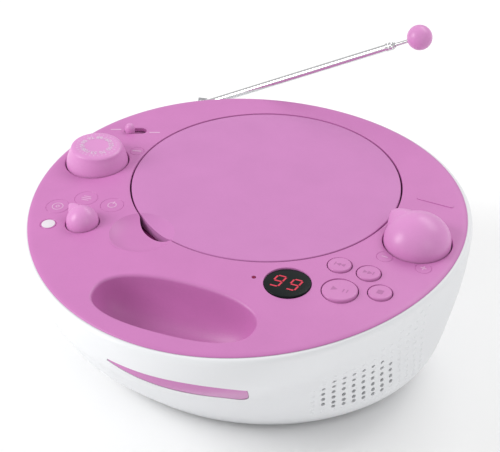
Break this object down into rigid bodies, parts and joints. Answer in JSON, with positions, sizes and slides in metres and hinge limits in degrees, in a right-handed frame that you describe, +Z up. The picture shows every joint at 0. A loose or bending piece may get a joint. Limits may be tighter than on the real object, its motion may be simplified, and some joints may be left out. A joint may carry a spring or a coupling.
{
  "type": "portable cd player",
  "caption": "Round three-lobed portable disc player and radio with a deck of knobs and buttons, a hinged disc lid, a grip cup at the front and a telescopic aerial.",
  "frame": {"origin": "middle of the whole object's outline seen from above, with the aerial as stored, at the height of the feet", "axes": "+X to the right seen from the front, +Y from the grip cup towards the aerial at the back, +Z up"},
  "size_m": [0.295, 0.33, 0.1808],
  "materials": {
    "white_shell": "polished moulded ABS, cool white",
    "pink_textured": "moulded ABS with a fine stippled grain, orchid pink",
    "pink_satin": "satin moulded ABS, orchid pink",
    "black_gloss": "polished smoked acrylic",
    "red_lens": "clear red plastic",
    "dark_plastic": "moulded dark grey plastic",
    "chrome": "plated drawn tube",
    "steel": "plain zinc plated steel",
    "circuit_board": "green lacquered laminate",
    "speaker_paper": "pressed black paper pulp",
    "black_rubber": "matt moulded rubber",
    "clear_lens": "clear moulded optic with a blue coating"
  },
  "bodies": {
    "casing": {"lower_shell": "white_shell", "front_accent": "pink_satin", "top_panel": "pink_textured", "hinge_bracket": "steel", "hinge_pin": "steel", "lid_spring": "steel", "disc_well": "pink_satin", "spindle_motor": "steel", "mechanism_chassis": "dark_plastic", "guide_rod_front": "steel", "guide_rod_rear": "steel", "sled_motor": "steel", "chassis_damper_1": "black_rubber", "chassis_damper_2": "black_rubber", "chassis_damper_3": "black_rubber", "tuning_capacitor": "white_shell", "function_switch": "dark_plastic", "volume_control": "steel", "band_switch": "steel", "display_lens": "black_gloss", "display_module": "black_gloss", "indicator_led": "red_lens", "key_board": "circuit_board", "aerial_bracket": "white_shell", "speaker_frame_right": "steel", "speaker_cone_right": "speaker_paper", "speaker_frame_left": "steel", "speaker_cone_left": "speaker_paper", "battery_box": "white_shell", "battery_contact_plus": "steel", "battery_contact_minus": "steel", "foot_1": "black_rubber", "foot_2": "black_rubber", "foot_3": "black_rubber", "foot_4": "black_rubber", "main_board": "circuit_board", "transformer": "steel", "ac_inlet": "black_gloss", "headphone_jack": "black_gloss"},
    "lid": {"cd_lid": "pink_satin", "lid_inner_plate": "white_shell"},
    "clamper": {"disc_clamper": "dark_plastic"},
    "spindle": {"turntable": "dark_plastic"},
    "sled": {"pickup_sled": "dark_plastic", "pickup_lens": "clear_lens"},
    "screw": {"lead_screw": "steel"},
    "dial": {"tuning_dial": "pink_satin"},
    "function": {"function_knob": "pink_satin"},
    "volume": {"volume_knob": "pink_satin"},
    "band": {"band_slide": "pink_satin"},
    "previous": {"previous_button": "pink_satin"},
    "next": {"next_button": "pink_satin"},
    "play": {"play_pause_button": "pink_satin"},
    "stop": {"stop_button": "pink_satin"},
    "swivel": {"aerial_swivel": "steel"},
    "mast": {"aerial_lower_tube": "chrome"},
    "middle": {"aerial_middle_tube": "chrome"},
    "whip": {"aerial_rod": "chrome", "aerial_tip": "pink_satin"},
    "door": {"battery_door": "white_shell"}
  },
  "joints": [
    {"name": "lid_hinge", "type": "hinge", "parent": "casing", "child": "lid", "pos_m": [0, 0.1238, 0.1105], "axis": [-1, 0, 0], "range_deg": [0, 68]},
    {"name": "clamper_spin", "type": "hinge", "parent": "lid", "child": "clamper", "pos_m": [0, 0.0248, 0.107], "axis": [0, 0, 1], "continuous": true},
    {"name": "turntable_spin", "type": "hinge", "parent": "casing", "child": "spindle", "pos_m": [0, 0.0248, 0.1], "axis": [0, 0, 1], "continuous": true},
    {"name": "sled_slide", "type": "slide", "parent": "casing", "child": "sled", "axis": [1, 0, 0], "range_m": [0, 0.034]},
    {"name": "lead_screw_turn", "type": "hinge", "parent": "casing", "child": "screw", "pos_m": [0.044, 0.0568, 0.092], "axis": [1, 0, 0], "range_deg": [-5, 4090]},
    {"name": "tuning_dial_turn", "type": "hinge", "parent": "casing", "child": "dial", "pos_m": [-0.1175, 0.0073, 0.12], "axis": [0, 0, 1], "range_deg": [-90, 90]},
    {"name": "function_turn", "type": "hinge", "parent": "casing", "child": "function", "pos_m": [-0.0935, -0.0622, 0.116], "axis": [0, 0, 1], "range_deg": [-87, 46]},
    {"name": "volume_turn", "type": "hinge", "parent": "casing", "child": "volume", "pos_m": [0.1158, 0.003, 0.12], "axis": [0, 0, 1], "range_deg": [-210, 87]},
    {"name": "band_slide", "type": "slide", "parent": "casing", "child": "band", "axis": [0.9336, 0.3584, 0], "range_m": [0, 0.0078]},
    {"name": "previous_press", "type": "slide", "parent": "casing", "child": "previous", "axis": [0, 0, -1], "range_m": [0, 0.0012], "stiffness_N_per_m": 400},
    {"name": "next_press", "type": "slide", "parent": "casing", "child": "next", "axis": [0, 0, -1], "range_m": [0, 0.0012], "stiffness_N_per_m": 400},
    {"name": "play_press", "type": "slide", "parent": "casing", "child": "play", "axis": [0, 0, -1], "range_m": [0, 0.0012], "stiffness_N_per_m": 400},
    {"name": "stop_press", "type": "slide", "parent": "casing", "child": "stop", "axis": [0, 0, -1], "range_m": [0, 0.0012], "stiffness_N_per_m": 400},
    {"name": "aerial_swivel_turn", "type": "hinge", "parent": "casing", "child": "swivel", "pos_m": [-0.093, 0.1238, 0.0989], "axis": [0, 0, 1], "range_deg": [0, 205]},
    {"name": "aerial_raise", "type": "hinge", "parent": "swivel", "child": "mast", "pos_m": [-0.093, 0.1238, 0.0989], "axis": [0.2079, -0.9781, 0], "range_deg": [-25, 64]},
    {"name": "aerial_middle_slide", "type": "slide", "parent": "mast", "child": "middle", "axis": [0.8843, 0.188, 0.4274], "range_m": [0, 0.13]},
    {"name": "aerial_rod_slide", "type": "slide", "parent": "middle", "child": "whip", "axis": [0.8843, 0.188, 0.4274], "range_m": [0, 0.13]},
    {"name": "battery_door_hinge", "type": "hinge", "parent": "casing", "child": "door", "pos_m": [0, 0.0418, 0.0027], "axis": [1, 0, 0], "range_deg": [0, 85]}
  ],
  "couplings": [
    {"joint": "lead_screw_turn", "follows": "sled_slide", "rad_per_m": 2094.4}
  ]
}
